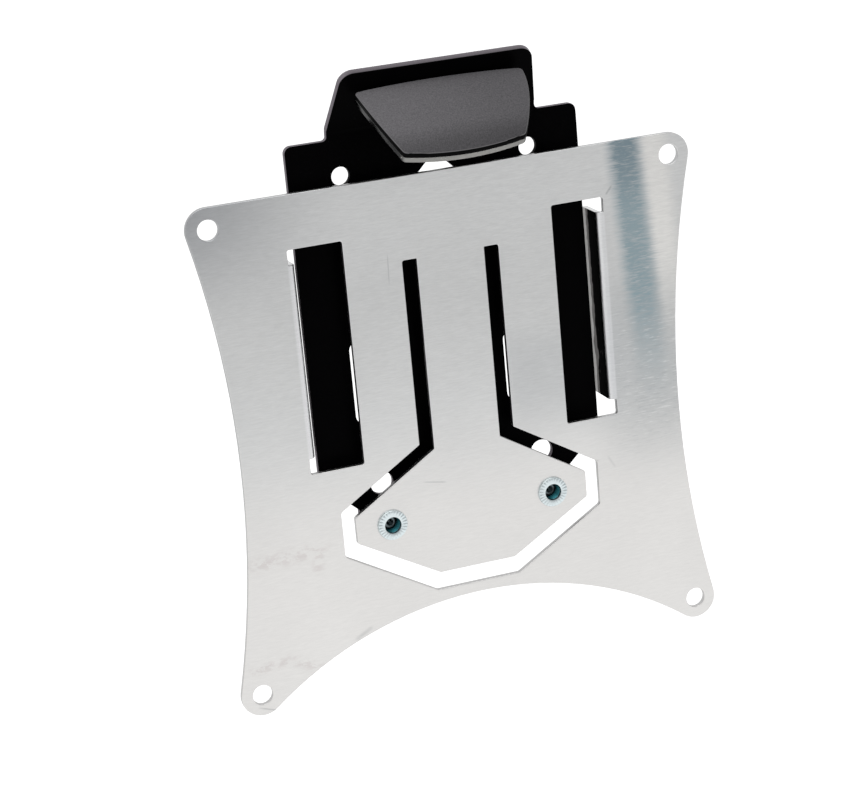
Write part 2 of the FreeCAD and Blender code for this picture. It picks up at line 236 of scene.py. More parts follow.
def merged_copy(node, name):
    """A copy of a CAD node with its loose triangles merged into clean faces."""
    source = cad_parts[node]
    piece = bpy.data.objects.new(name, source.data.copy())
    piece.data.name = name
    piece.data.materials.clear()
    bpy.context.scene.collection.objects.link(piece)
    make_active(piece)
    bpy.ops.mesh.customdata_custom_splitnormals_clear()
    bpy.ops.object.mode_set(mode="EDIT")
    bpy.ops.mesh.select_all(action="SELECT")
    bpy.ops.mesh.remove_doubles(threshold=MERGE_DISTANCE)
    bpy.ops.mesh.dissolve_limited(angle_limit=math.radians(0.7))
    bpy.ops.object.mode_set(mode="OBJECT")
    return piece


def round_edges(piece, width, segments=2, limit=32.0):
    """Round every edge sharper than the limit and shade the piece smooth."""
    apply_modifier(piece, "BEVEL", width=width, segments=segments, limit_method="ANGLE",
                   angle_limit=math.radians(limit), use_clamp_overlap=False)
    shade(piece, 50)
    apply_modifier(piece, "WEIGHTED_NORMAL", keep_sharp=True)


def stand_in(piece, node, slot):
    """The piece takes the CAD node's place; the slot is not used."""
    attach(piece, "root")
    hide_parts(node)


def shade(piece, angle):
    """Smooth shading that keeps edges sharper than the angle."""
    make_active(piece)
    bpy.ops.object.shade_smooth_by_angle(angle=math.radians(angle))


def turned(name, centre, profile, steps):
    """A turned piece about an axis along Y at centre, from (radius, y) pairs in millimetres."""
    deselect()
    axis = Vector((centre[0] * MM, 0.0, centre[1] * MM))
    radius, y = profile[0]
    bpy.ops.mesh.primitive_plane_add(size=MM, location=axis + Vector((radius * MM, y * MM, 0)))
    piece = bpy.context.object
    piece.name = name
    piece.data.name = name
    bpy.ops.object.transform_apply(location=True, rotation=True, scale=True)
    bpy.ops.object.mode_set(mode="EDIT")
    bpy.ops.mesh.select_mode(type="VERT")
    bpy.ops.mesh.select_all(action="SELECT")
    bpy.ops.mesh.merge(type="CENTER")
    for next_radius, next_y in profile[1:]:
        step = ((next_radius - radius) * MM, (next_y - y) * MM, 0)
        bpy.ops.mesh.extrude_vertices_move(TRANSFORM_OT_translate={"value": step})
        radius, y = next_radius, next_y
    bpy.ops.mesh.select_all(action="SELECT")
    bpy.ops.mesh.spin(steps=steps, angle=2 * math.pi, center=axis, axis=(0, 1, 0))
    bpy.ops.mesh.select_all(action="SELECT")
    bpy.ops.mesh.remove_doubles(threshold=MERGE_DISTANCE)
    bpy.ops.mesh.normals_make_consistent(inside=False)
    bpy.ops.object.mode_set(mode="OBJECT")
    return piece


def hexagon_bar(centre, flats, start, end):
    """A hexagonal bar along Y between two planes, in millimetres, flats up and down."""
    deselect()
    middle = Vector((centre[0], (start + end) / 2, centre[1])) * MM
    bpy.ops.mesh.primitive_cylinder_add(
        vertices=6, radius=flats / math.sqrt(3) * MM, depth=(end - start) * MM,
        location=middle, rotation=(math.radians(90), math.radians(30), 0))
    bar = bpy.context.object
    bar.name = "hexagon_bar"
    bpy.ops.object.transform_apply(location=True, rotation=True, scale=True)
    return bar


def combine(piece, tool, operation):
    """Cut the piece with a tool, or keep what both share; the tool is then removed."""
    apply_modifier(piece, "BOOLEAN", object=tool, operation=operation, solver="EXACT")
    bpy.data.objects.remove(tool)


def thread_rings(outer, depth, pitch, start, end):
    """Profile points of a thread between two planes: one groove for every pitch."""
    count = max(1, round(abs(end - start) / pitch))
    step = (end - start) / count
    points = []
    for index in range(count):
        points.append((outer, start + step * (index + 0.06)))
        points.append((outer - depth, start + step * (index + 0.42)))
        points.append((outer - depth, start + step * (index + 0.58)))
        points.append((outer, start + step * (index + 0.94)))
    return points


def select_points(piece, chosen):
    """In edit mode, select the vertices that the test accepts."""
    make_active(piece)
    bpy.ops.object.mode_set(mode="EDIT")
    bpy.ops.mesh.select_mode(type="VERT")
    bpy.ops.mesh.select_all(action="DESELECT")
    bpy.ops.object.mode_set(mode="OBJECT")
    for vertex in piece.data.vertices:
        vertex.select = chosen(vertex.co)
    bpy.ops.object.mode_set(mode="EDIT")


def move_points(piece, chosen, offset):
    """Move the vertices that the test accepts, the offset in millimetres."""
    select_points(piece, chosen)
    bpy.ops.transform.translate(value=Vector(offset) * MM)
    bpy.ops.object.mode_set(mode="OBJECT")


def stretch_tabs(piece):
    """Make both tabs deeper and longer at the bottom, as far as the photograph shows them."""
    def on_tab(point):
        return TAB_INSIDE - SLACK < abs(point.x) / MM < TAB_OUTSIDE + SLACK

    def at_rear(point):
        return on_tab(point) and point.y / MM > TAB_REAR - SLACK

    def at_bottom(point):
        return on_tab(point) and abs(point.z / MM - TAB_BOTTOM) < SLACK

    move_points(piece, at_rear, (0, TAB_DEEPER, 0))
    move_points(piece, at_bottom, (0, 0, -TAB_LONGER))


def shrink_ear_holes(piece):
    """Draw the two tail bolt holes in to the width that the photograph shows."""
    for side in (-1, 1):
        centre = Vector((side * EAR_HOLE_X * MM, 0, 0))
        select_points(piece, lambda point: math.hypot(point.x - centre.x, point.z) < 3.7 * MM)
        bpy.ops.transform.resize(value=(EAR_HOLE_SCALE, 1, EAR_HOLE_SCALE), center_override=centre)
        bpy.ops.object.mode_set(mode="OBJECT")


def turn_index(point, centre, steps):
    """Which of the equal steps round the axis a point lies on."""
    angle = math.atan2(point.z - centre[1] * MM, point.x - centre[0] * MM)
    return round(angle / (2 * math.pi) * steps) % steps


def cut_notches(piece, count, depth):
    """Press radial notches into the flange's outer half."""
    centre = (-LINK_X, LINK_Z)

    def chosen(point):
        radius = math.hypot(point.x - centre[0] * MM, point.z - centre[1] * MM)
        on_rim = radius > NOTCH_START * MM and point.y < FLANGE_FRONT * MM
        return on_rim and turn_index(point, centre, 4 * count) % 4 == 0

    move_points(piece, chosen, (0, depth / MM, 0))
    shade(piece, 40)


def knurl(piece, start, end, radius, steps):
    """Straight knurling: every second column of the head's side is drawn in."""
    centre = (-LINK_X, LINK_Z)

    def chosen(point):
        reach = math.hypot(point.x - centre[0] * MM, point.z - centre[1] * MM)
        between = start * MM < point.y < end * MM
        return reach > radius * MM and between and turn_index(point, centre, steps) % 2 == 0

    select_points(piece, chosen)
    middle = (centre[0] * MM, 0, centre[1] * MM)
    bpy.ops.transform.resize(value=(KNURL_SCALE, 1, KNURL_SCALE), center_override=middle)
    bpy.ops.object.mode_set(mode="OBJECT")


def lean_out(piece):
    """Move a piece from the leaning tab's own frame to its place."""
    make_active(piece)
    piece.rotation_euler = (math.radians(LEAN), 0, 0)
    piece.location = (0, LEAN_Y * MM, LEAN_Z * MM)
    bpy.ops.object.transform_apply(location=True, rotation=True, scale=True)


def finish_pair(piece, node, name, shift, slot):
    """The finished left piece and its copy on the right stand for both CAD nodes."""
    piece.name = name + "_left"
    piece.data.name = name + "_left"
    make_active(piece)
    bpy.ops.object.duplicate(linked=False)
    other = bpy.context.object
    other.name = name + "_right"
    other.data.name = name + "_right"
    bpy.ops.transform.translate(value=(shift * MM, 0, 0))
    bpy.ops.object.transform_apply(location=True, rotation=True, scale=True)
    stand_in(piece, node + "_left", slot)
    stand_in(other, node + "_right", slot)


def light_chip(name, x):
    """A chip's case with an eased top and a window pressed into its lower face, tab's frame."""
    deselect()
    height = CHIP_SIZE[2]
    bpy.ops.mesh.primitive_cube_add(
        size=MM, location=(x * MM, -CHIP_Y * MM, (BOARD_BOTTOM - height / 2) * MM),
        scale=CHIP_SIZE)
    piece = bpy.context.object
    piece.name = name
    piece.data.name = name
    bpy.ops.object.transform_apply(location=True, rotation=True, scale=True)
    bpy.ops.object.mode_set(mode="EDIT")
    bpy.ops.mesh.select_mode(type="FACE")
    bpy.ops.mesh.select_all(action="SELECT")
    bpy.ops.mesh.bevel(offset=CHIP_ROUND * MM, segments=2, affect="EDGES")
    bpy.ops.mesh.select_all(action="DESELECT")
    bpy.ops.object.mode_set(mode="OBJECT")
    lowest = min(piece.data.polygons, key=lambda face: face.center.z)
    lowest.select = True
    window = lowest.index
    bpy.ops.object.mode_set(mode="EDIT")
    bpy.ops.mesh.inset(thickness=WINDOW_BORDER * MM)
    inward = (0, 0, WINDOW_DEPTH * MM)
    bpy.ops.mesh.extrude_region_move(TRANSFORM_OT_translate={"value": inward})
    bpy.ops.object.mode_set(mode="OBJECT")
    for face in piece.data.polygons:
        face.material_index = 1 if face.select else 0
    shade(piece, 35)
    return piece


def add_light(name, place, target, width, height, power):
    """A soft rectangular lamp that points at the target."""
    data = bpy.data.lights.new(name, "AREA")
    data.shape = "RECTANGLE"
    data.size = width
    data.size_y = height
    data.energy = power
    lamp = bpy.data.objects.new(name, data)
    lamp.location = place
    lamp.rotation_euler = (Vector(target) - Vector(place)).to_track_quat("-Z", "Y").to_euler()
    bpy.context.scene.collection.objects.link(lamp)


def add_card(name, place, size, color):
    """An upright card, facing the object, that only reflections show."""
    deselect()
    bpy.ops.mesh.primitive_plane_add(
        size=1.0, location=place, rotation=(math.radians(90), 0, 0))
    card = bpy.context.object
    card.name = name
    bpy.ops.transform.resize(value=(size[0], 1, size[1]), center_override=place)
    bpy.ops.object.transform_apply(location=True, rotation=True, scale=True)
    card.visible_camera = False
    card.visible_shadow = False
    card.visible_diffuse = False
    card.data.materials.append(dark_card_paint(name + "_paint", color))


class Surface:
    """Builds one procedural material on Object coordinates."""

    def __init__(self, name):
        self.material = bpy.data.materials.new(name)
        self.material.use_nodes = True
        self.tree = self.material.node_tree
        self.shader = self.tree.nodes["Principled BSDF"]
        self.position = self.add("ShaderNodeTexCoord").outputs["Object"]
        split = self.add("ShaderNodeSeparateXYZ")
        self.link(self.position, split.inputs[0])
        self.x, self.y, self.z = split.outputs

    def add(self, kind, **values):
        """A new node of this kind with these settings."""
        node = self.tree.nodes.new(kind)
        for key, value in values.items():
            setattr(node, key, value)
        return node

    def link(self, start, end):
        self.tree.links.new(start, end)

    def feed(self, socket, value):
        """Link a socket or set a plain value."""
        if isinstance(value, bpy.types.NodeSocket):
            self.link(value, socket)
        else:
            socket.default_value = value

    def math(self, operation, first, second=0.0, third=0.0, clamp=False):
        node = self.add("ShaderNodeMath", operation=operation, use_clamp=clamp)
        for socket, value in zip(node.inputs, (first, second, third)):
            self.feed(socket, value)
        return node.outputs[0]

    def product(self, *factors):
        """All the factors multiplied."""
        result = factors[0]
        for factor in factors[1:]:
            result = self.math("MULTIPLY", result, factor)
        return result

    def strongest(self, masks):
        """The highest of the masks at each place."""
        result = masks[0]
        for mask in masks[1:]:
            result = self.math("MAXIMUM", result, mask)
        return result

    def distance(self, first, second):
        """Length of a step that is made of two steps at right angles."""
        squares = (self.math("POWER", step, 2.0) for step in (first, second))
        return self.math("SQRT", self.math("ADD", *squares))

    def facing(self, direction):
        """How far the surface faces a direction, from 1 for straight at it to -1 for away."""
        node = self.add("ShaderNodeVectorMath", operation="DOT_PRODUCT")
        node.inputs[1].default_value = direction
        self.link(self.add("ShaderNodeNewGeometry").outputs["Normal"], node.inputs[0])
        return node.outputs["Value"]

    def window(self, value, low, rise, fall, high):
        """Mask that rises between the first two values and falls between the last two."""
        return self.product(self.ramp(value, low, rise), self.ramp(value, fall, high, 1.0, 0.0))

    def ramp(self, value, low, high, start=0.0, end=1.0):
        """Smooth step from start to end as the value goes from low to high."""
        node = self.add("ShaderNodeMapRange", interpolation_type="SMOOTHSTEP")
        limits = {"From Min": low, "From Max": high, "To Min": start, "To Max": end}
        for key, number in limits.items():
            node.inputs[key].default_value = number
        self.link(value, node.inputs["Value"])
        return node.outputs["Result"]

    def noise(self, scale, detail=3.0, stretch=(1, 1, 1), roughness=0.55):
        mapping = self.add("ShaderNodeMapping")
        mapping.inputs["Scale"].default_value = stretch
        self.link(self.position, mapping.inputs["Vector"])
        node = self.add("ShaderNodeTexNoise")
        self.link(mapping.outputs["Vector"], node.inputs["Vector"])
        node.inputs["Scale"].default_value = scale
        node.inputs["Detail"].default_value = detail
        node.inputs["Roughness"].default_value = roughness
        return node.outputs["Fac"]

    def blend(self, factor, first, second, kind="MIX"):
        """Mix two colours."""
        node = self.add("ShaderNodeMix", data_type="RGBA", blend_type=kind)
        self.feed(node.inputs[0], factor)
        for socket, value in ((node.inputs[6], first), (node.inputs[7], second)):
            if not isinstance(value, bpy.types.NodeSocket):
                value = tuple(value) + (1.0,) if len(value) == 3 else tuple(value)
            self.feed(socket, value)
        return node.outputs[2]

    def mark(self, centre, half_length, half_width, angle):
        """Soft mask of a straight mark in the XZ plane, sizes in millimetres."""
        c, s = math.cos(math.radians(angle)), math.sin(math.radians(angle))
        dx = self.math("SUBTRACT", self.x, centre[0] * MM)
        dz = self.math("SUBTRACT", self.z, centre[1] * MM)
        along = self.math("ADD", self.math("MULTIPLY", dx, c), self.math("MULTIPLY", dz, s))
        across = self.math("SUBTRACT", self.math("MULTIPLY", dz, c), self.math("MULTIPLY", dx, s))
        across = self.math("ABSOLUTE", across)
        along = self.math("ABSOLUTE", along)
        near = self.ramp(across, 0.0, half_width * MM, 1.0, 0.0)
        within = self.ramp(along, 0.5 * half_length * MM, half_length * MM, 1.0, 0.0)
        return self.product(near, within)

    def bump(self, height, strength, distance):
        node = self.add("ShaderNodeBump")
        node.inputs["Strength"].default_value = strength
        node.inputs["Distance"].default_value = distance
        self.link(height, node.inputs["Height"])
        self.link(node.outputs["Normal"], self.shader.inputs["Normal"])

    def set(self, **values):
        for key, value in values.items():
            self.feed(self.shader.inputs[key.replace("_", " ")], value)


def painted_sheet_reflections(s, base, front):
    """The sheet's colour with painted reflections: brighter low down, darker at the top left
    corner and in blue-grey patches on the right.
    """
    # Painted reflection: the sheet is brightest low down and dullest a third of the way from the
    # top, and a little cooler higher up
    low = s.ramp(s.z, -0.122, -0.052, 1.0, 0.85)
    level = s.product(low, s.ramp(s.z, -0.046, -0.004, 0.93, 1.03))
    cooler = (0.975 * base[0], 0.995 * base[1], 1.01 * base[2])
    tone = s.blend(s.ramp(s.z, -0.125, -0.075), base, cooler)
    color = s.blend(1.0, tone, level, "MULTIPLY")
    # Painted dark reflection in the top left corner of the front face
    corner = s.product(s.ramp(s.x, -0.092, -0.030, 1.0, 0.0), s.ramp(s.z, -0.048, 0.0), front)
    color = s.blend(s.product(corner, 0.86), color, (0.36, 0.37, 0.385))
    # Painted dark reflection: a blue-grey band low on the right of the front face
    side = s.window(s.z, -0.134, -0.086, -0.062, -0.040)
    side = s.product(s.ramp(s.x, 0.040, 0.068), side, front)
    color = s.blend(s.product(side, 0.48), color, (0.36, 0.38, 0.39))
    # Painted dark reflection: a soft blue-grey patch between the right slot and the right window
    wide = s.window(s.x, 0.010, 0.022, 0.052, 0.066)
    dark_patch_reflection = s.product(wide, s.window(s.z, -0.108, -0.082, -0.074, -0.054), front)
    return s.blend(s.product(dark_patch_reflection, 0.36), color, (0.43, 0.445, 0.46))


def painted_reflection_strips(s, color, patchy, front):
    """Painted reflections: a blue-grey strip beside the right tab, with a paler one outside it."""
    # Both drift outwards and fade down the sheet, and their sides are ragged
    rags = s.math("SUBTRACT", s.noise(1.0, 3.0, (70, 200, 1500), 0.6), 0.5)
    across = s.math("ADD", s.math("ADD", s.x, s.product(s.z, 0.066)), s.product(rags, 0.0045))
    strip = s.product(s.window(across, 0.0560, 0.0624, 0.0662, 0.0730),
                      s.ramp(s.z, -0.100, -0.040), front)
    strip = s.math("MULTIPLY", strip, patchy, clamp=True)
    flecks = s.ramp(s.noise(1.0, 2.0, (190, 400, 1700)), 0.56, 0.68)
    flecks = s.product(flecks, s.ramp(s.z, -0.045, -0.015, 0.50, 0.12))
    strip = s.product(strip, s.math("SUBTRACT", 1.0, flecks))
    # Painted dark reflection, darker and bluer towards the top
    cool_reflection = s.blend(s.ramp(s.z, -0.030, -0.004), (0.24, 0.335, 0.375), (0.145, 0.225, 0.27))
    color = s.blend(s.product(strip, 0.85), color, cool_reflection)
    # Painted pale reflection outside the blue-grey strip
    warm_reflection = s.product(s.window(across, 0.0690, 0.0735, 0.0765, 0.0830),
                     s.ramp(s.z, -0.085, -0.035), front)
    return s.blend(s.product(warm_reflection, 0.60), color, (0.90, 0.885, 0.85))


def rubs_and_stains(s, color, front):
    """Short pale and dark scratches on the right, and faint reddish stains low on the left."""
    rubbed = s.window(s.z, -0.124, -0.094, -0.074, -0.050)
    rubbed = s.product(s.ramp(s.x, 0.050, 0.060), rubbed, front)
    lines = s.noise(1.0, 3.0, (210, 300, 1900), 0.65)
    pale = s.product(s.ramp(lines, 0.55, 0.68), rubbed, 0.30)
    dark = s.product(s.ramp(lines, 0.34, 0.45, 1.0, 0.0), rubbed, 0.26)
    color = s.blend(pale, color, (0.90, 0.90, 0.90))
    color = s.blend(dark, color, (0.30, 0.325, 0.35))
    specks = s.ramp(s.noise(1.0, 4.0, (300, 300, 480), 0.7), 0.44, 0.60)
    stain = s.product(s.strongest([s.mark(*place) for place in STAINS]), specks, front)
    return s.blend(s.product(stain, 0.26), color, (0.45, 0.37, 0.37))


def edges_and_bend_highlights(s, color):
    """Duller sheared edges all round, and painted highlights on the bends where the tabs turn
    back.
    """
    cut = s.ramp(s.math("ABSOLUTE", s.facing((0, 1, 0))), 0.30, 0.60, 1.0, 0.0)
    cut = s.product(cut, s.ramp(s.y, -0.0076, -0.0074, 1.0, 0.0))
    color = s.blend(s.product(cut, 0.45), color, (0.20, 0.20, 0.21))
    # Painted highlight along the outside of each tab's bend
    bend_highlight = s.window(s.math("ABSOLUTE", s.x), 0.0533, 0.0537, 0.0556, 0.0564)
    bend_highlight = s.product(bend_highlight, s.window(s.z, -0.0916, -0.0913, -0.0252, -0.0248))
    return s.blend(s.product(bend_highlight, 0.30), color, (0.93, 0.93, 0.96))


def rolled_aluminium(settings):
    """Mill finished sheet: level grain, soft clouds, painted reflections in strips, patches and a
    brighter lower half, and small scratches.
    """
    s = Surface("rolled_aluminium")
    fine = s.noise(1.0, 2.0, (420, 900, 3400))
    coarse = s.noise(1.0, 3.0, (170, 300, 1100))
    clouds = s.noise(26.0, 4.0)
    grain = s.math("ADD", s.product(fine, 0.6), s.product(coarse, 0.4))
    patchy = s.math("SUBTRACT", s.product(grain, 2.4), 0.22)
    # The front face alone is marked
    front = s.ramp(s.y, -0.0090, -0.0086, 1.0, 0.0)
    color = painted_sheet_reflections(s, tuple(settings.carrier_color), front)
    color = painted_reflection_strips(s, color, patchy, front)
    color = rubs_and_stains(s, color, front)
    color = edges_and_bend_highlights(s, color)
    # The grain shows most on the upper half
    depth = s.ramp(s.z, -0.125, -0.060, 0.20, 0.36)
    shade = s.product(s.math("SUBTRACT", grain, 0.5), depth)
    shade = s.math("ADD", s.math("ADD", shade, s.product(clouds, 0.10)), 0.93)
    color = s.blend(1.0, color, shade, "MULTIPLY")
    marks = [s.product(s.mark(*place), strength) for *place, strength in SCRATCHES]
    wear = s.product(s.strongest(marks), patchy, front)
    s.set(Base_Color=s.blend(wear, color, (0.24, 0.25, 0.26)), Metallic=1.0)
    smoothest = settings.carrier_roughness - 0.05
    s.set(Roughness=s.math("ADD", s.product(grain, 0.10), smoothest))
    s.bump(grain, 0.12, 0.00004)
    return s.material


def tab_face_painted_reflection():
    """The tabs' inner faces: a painted dark reflection, with grey painted reflections part way
    back and a bright painted reflection streak along the rear edge.
    """
    s = Surface("tab_face_painted_reflection")
    rub = s.noise(1.0, 4.0, (900, 800, 260), 0.7)
    wander = s.math("SUBTRACT", s.noise(1.0, 3.0, (300, 300, 120)), 0.5)
    depth = s.math("ADD", s.y, s.product(wander, 0.005))
    # Painted grey reflection part way back along the face
    middle = s.ramp(depth, -0.0016, -0.0008)
    middle = s.math("MULTIPLY", middle, s.math("ADD", rub, 0.40), clamp=True)
    # Painted bright reflection streak along the rear edge
    rear_streak_reflection = s.ramp(depth, 0.0008, 0.0016)
    rear_streak_reflection = s.math("MULTIPLY", rear_streak_reflection, s.math("ADD", rub, 0.45), clamp=True)
    specks = s.product(s.ramp(rub, 0.60, 0.70), s.ramp(s.z, -0.080, -0.055, 0.30, 0.0))
    grey_reflection = s.strongest([middle, specks])
    color = s.blend(grey_reflection, (0.0008, 0.0008, 0.0009), (0.31, 0.30, 0.295))
    s.set(Base_Color=s.blend(rear_streak_reflection, color, (0.93, 0.92, 0.90)), Roughness=0.55)
    s.shader.inputs["IOR"].default_value = 1.03
    s.bump(rub, 0.15, 0.00004)
    return s.material


def powder_coat(settings):
    """Black powder coat: near black on its faces; the cut edges are painted greyer as a highlight.
    """
    s = Surface("black_powder_coat")
    speckle = s.noise(2600.0, 2.0)
    clouds = s.noise(30.0, 3.0)
    face = s.blend(clouds, tuple(settings.coat_color), tuple(1.7 * c for c in settings.coat_color))
    edge = tuple(settings.painted_edge_highlight_color)
    edge = s.blend(speckle, tuple(0.75 * c for c in edge), tuple(1.25 * c for c in edge))
    lean = math.radians(LEAN)
    faces = ((0, 1, 0), (0, math.cos(lean), math.sin(lean)))
    facing = s.strongest([s.math("ABSOLUTE", s.facing(direction)) for direction in faces])
    # Inside the two ear holes the painted edge highlight is left out, so they stay as dark as on
    # the faces
    dx = s.math("SUBTRACT", s.math("ABSOLUTE", s.x), EAR_HOLE_X * MM)
    outside = s.ramp(s.distance(dx, s.z), 0.0045, 0.0055)
    # Painted highlight on the cut edges
    cut = s.product(s.ramp(facing, 0.35, 0.75, 1.0, 0.0), outside)
    s.set(Base_Color=s.blend(cut, face, edge))
    s.shader.inputs["IOR"].default_value = 1.06
    s.set(Roughness=s.math("ADD", s.product(speckle, 0.16), 0.26))
    s.bump(speckle, 0.15, 0.00003)
    return s.material


def zinc_plate(settings, name, bore=None):
    """Blue passivated zinc with soft clouds; down a nut's bore it is painted darker as shade."""
    s = Surface(name)
    color = tuple(settings.zinc_color)
    clouds = s.noise(420.0, 3.0)
    tint = s.blend(clouds, color, tuple(0.80 * c for c in color))
    if bore is not None:
        # Painted shade: down the bore the zinc takes the darker given tone
        dx = s.math("SUBTRACT", s.math("ABSOLUTE", s.x), LINK_X * MM)
        dz = s.math("SUBTRACT", s.z, LINK_Z * MM)
        inside = s.ramp(s.distance(dx, dz), 0.00272, 0.00296, 1.0, 0.0)
        deep = s.window(s.y, -0.0103, -0.0094, -0.0035, -0.0025)
        tint = s.blend(s.product(inside, deep), tint, tuple(bore))
    s.set(Base_Color=tint, Metallic=1.0)
    s.set(Roughness=s.math("ADD", s.product(clouds, 0.12), 0.26))
    s.bump(s.noise(1800.0, 2.0), 0.08, 0.00003)
    return s.material


def hood_plastic(settings):
    """Moulded black plastic: a fine grain on the upward faces, painted lighter grey there as lit
    from above; smooth and darker below.
    """
    s = Surface("lamp_hood_plastic")
    lean = math.radians(LEAN)
    upward = s.facing((0.0, -math.sin(lean), math.cos(lean)))
    facing = s.ramp(upward, 0.45, 0.80)
    grain = s.noise(2100.0, 3.0)
    clouds = s.noise(22.0, 2.0)
    # Painted light: the top is palest at its rear left corner and darkens to the right and towards
    # the front edge
    level = s.ramp(s.x, -0.026, 0.026, 1.36, 1.02)
    level = s.product(level, s.ramp(s.y, -0.034, -0.028, 0.66, 1.0))
    palest = tuple(settings.lit_crown_color)
    top = s.blend(clouds, tuple(0.90 * c for c in palest), palest)
    grained = s.math("ADD", s.product(grain, 1.10), 0.45)
    top = s.blend(1.0, top, s.product(grained, level), "MULTIPLY")
    # Painted highlight along the edge round the top
    painted_rim_highlight = s.window(upward, 0.52, 0.64, 0.74, 0.82)
    top = s.blend(s.product(painted_rim_highlight, 0.7), top, (0.30, 0.295, 0.30))
    # Painted light: the upward faces lighter than the skirt below
    s.set(Base_Color=s.blend(facing, tuple(settings.skirt_color), top))
    s.shader.inputs["IOR"].default_value = 1.10
    s.set(Roughness=s.ramp(upward, 0.45, 0.80, 0.30, 0.52))
    s.bump(grain, 0.30, 0.00005)
    return s.material


def clear_plastic(settings):
    """Slightly frosted clear plastic."""
    s = Surface("lamp_lens_plastic")
    haze = s.noise(160.0, 3.0)
    color = s.blend(haze, tuple(settings.lens_color), tuple(0.86 * c for c in settings.lens_color))
    # Along its sides the rim is tinted as dark as the skirt above it
    side = s.ramp(s.math("ABSOLUTE", s.x), 0.0200, 0.0218)
    color = s.blend(side, color, tuple(settings.skirt_color))
    s.set(Base_Color=color, Roughness=s.math("ADD", s.product(haze, 0.12), 0.12))
    s.shader.inputs["Transmission Weight"].default_value = 0.55
    s.shader.inputs["IOR"].default_value = 1.49
    return s.material


def black_rubber(settings):
    """Dull black rubber with a fine grain."""
    s = Surface("black_rubber")
    grain = s.noise(1500.0, 3.0)
    dark = tuple(settings.rubber_color)
    color = s.blend(grain, dark, tuple(1.8 * c for c in dark))
    s.set(Base_Color=color, Roughness=s.math("ADD", s.product(grain, 0.15), 0.62))
    s.bump(grain, 0.25, 0.00006)
    return s.material


def circuit_board_finish():
    """White solder mask with faint tracks that run across the board."""
    s = Surface("white_solder_mask")
    mask = s.noise(900.0, 2.0)
    wave = s.add("ShaderNodeTexWave", wave_type="BANDS", bands_direction="Y")
    s.link(s.position, wave.inputs["Vector"])
    wave.inputs["Scale"].default_value = 260.0
    wave.inputs["Distortion"].default_value = 0.0
    track = s.ramp(wave.outputs["Fac"], 0.86, 0.92)
    board = s.blend(mask, (0.72, 0.73, 0.71), (0.78, 0.79, 0.77))
    s.set(Base_Color=s.blend(s.product(track, 0.35), board, (0.45, 0.43, 0.36)))
    s.set(Roughness=s.math("ADD", s.product(mask, 0.10), 0.38))
    s.bump(track, 0.20, 0.00003)
    return s.material


def chip_case():
    """White moulded case of a light emitting chip."""
    s = Surface("chip_case")
    grain = s.noise(3000.0, 2.0)
    s.set(Base_Color=s.blend(grain, (0.78, 0.77, 0.74), (0.84, 0.83, 0.80)))
    s.set(Roughness=s.math("ADD", s.product(grain, 0.10), 0.45))
    return s.material


def phosphor():
    """Yellow phosphor gel in the chip's window."""
    s = Surface("chip_phosphor")
    grain = s.noise(2400.0, 2.0)
    s.set(Base_Color=s.blend(grain, (0.72, 0.52, 0.08), (0.82, 0.62, 0.12)))
    s.set(Roughness=s.math("ADD", s.product(grain, 0.10), 0.22))
    return s.material


def floor_paint():
    """Pale floor that reads white to the eye and in reflections, and keeps a shadow."""
    s = Surface("pale_floor")
    color = s.blend(s.noise(0.8, 2.0), (0.83, 0.83, 0.83), (0.85, 0.85, 0.85))
    s.set(Base_Color=color, Roughness=0.9)
    s.shader.inputs["Specular IOR Level"].default_value = 0.0
    path = s.add("ShaderNodeLightPath")
    seen = s.strongest([path.outputs["Is Camera Ray"], path.outputs["Is Transmission Ray"]])
    seen = s.product(seen, 0.70)
    mirrored = s.product(path.outputs["Is Glossy Ray"], 0.50)
    s.shader.inputs["Emission Color"].default_value = (1, 1, 1, 1)
    s.set(Emission_Strength=s.strongest([seen, mirrored]))
    return s.material


def dark_card_paint(name, color):
    """Paint of a card that only reflections show."""
    s = Surface(name)
    color = s.blend(s.noise(2.0, 2.0), color, tuple(1.1 * c for c in color))
    s.set(Base_Color=color, Roughness=0.8)
    s.shader.inputs["Specular IOR Level"].default_value = 0.0
    return s.material


class TAILTIDY_OT_camera(bpy.types.Operator):
    """Places the camera where the photograph was taken from"""

    bl_idname = "tailtidy.camera"
    bl_label = "Camera"

    def execute(self, context):
        data = bpy.data.cameras.new("photo_camera")
        data.sensor_fit = "HORIZONTAL"
        data.sensor_width = SENSOR_WIDTH
        data.lens = FOCAL_LENGTH
        data.clip_start = 0.01
        camera = bpy.data.objects.new("photo_camera", data)
        place = Matrix.Identity(4)
        for column, direction in enumerate((CAMERA_RIGHT, CAMERA_UP, CAMERA_BACK)):
            for row in range(3):
                place[row][column] = direction[row]
        place.translation = CAMERA_PLACE
        camera.matrix_world = place
        context.scene.collection.objects.link(camera)
        context.scene.camera = camera
        return {"FINISHED"}


class TAILTIDY_OT_carrier(bpy.types.Operator):
    """Rounds the carrier's edges and gives it rolled aluminium"""

    bl_idname = "tailtidy.carrier"
    bl_label = "Plate Carrier"

    def execute(self, context):
        settings = context.scene.tail_tidy_sheets
        piece = merged_copy("plate_carrier", "aluminium_carrier")
        stretch_tabs(piece)
        round_edges(piece, settings.carrier_edge)
        piece.data.materials.append(rolled_aluminium(settings))
        piece.data.materials.append(tab_face_painted_reflection())
        # The tabs' inward faces get the second material, a painted dark reflection
        for face in piece.data.polygons:
            inward = face.normal.x * face.center.x < 0 and abs(face.normal.x) > 0.9
            if inward and abs(abs(face.center.x) / MM - TAB_INSIDE) < SLACK:
                face.material_index = 1
        stand_in(piece, "plate_carrier", "carrier_aluminium")
        return {"FINISHED"}


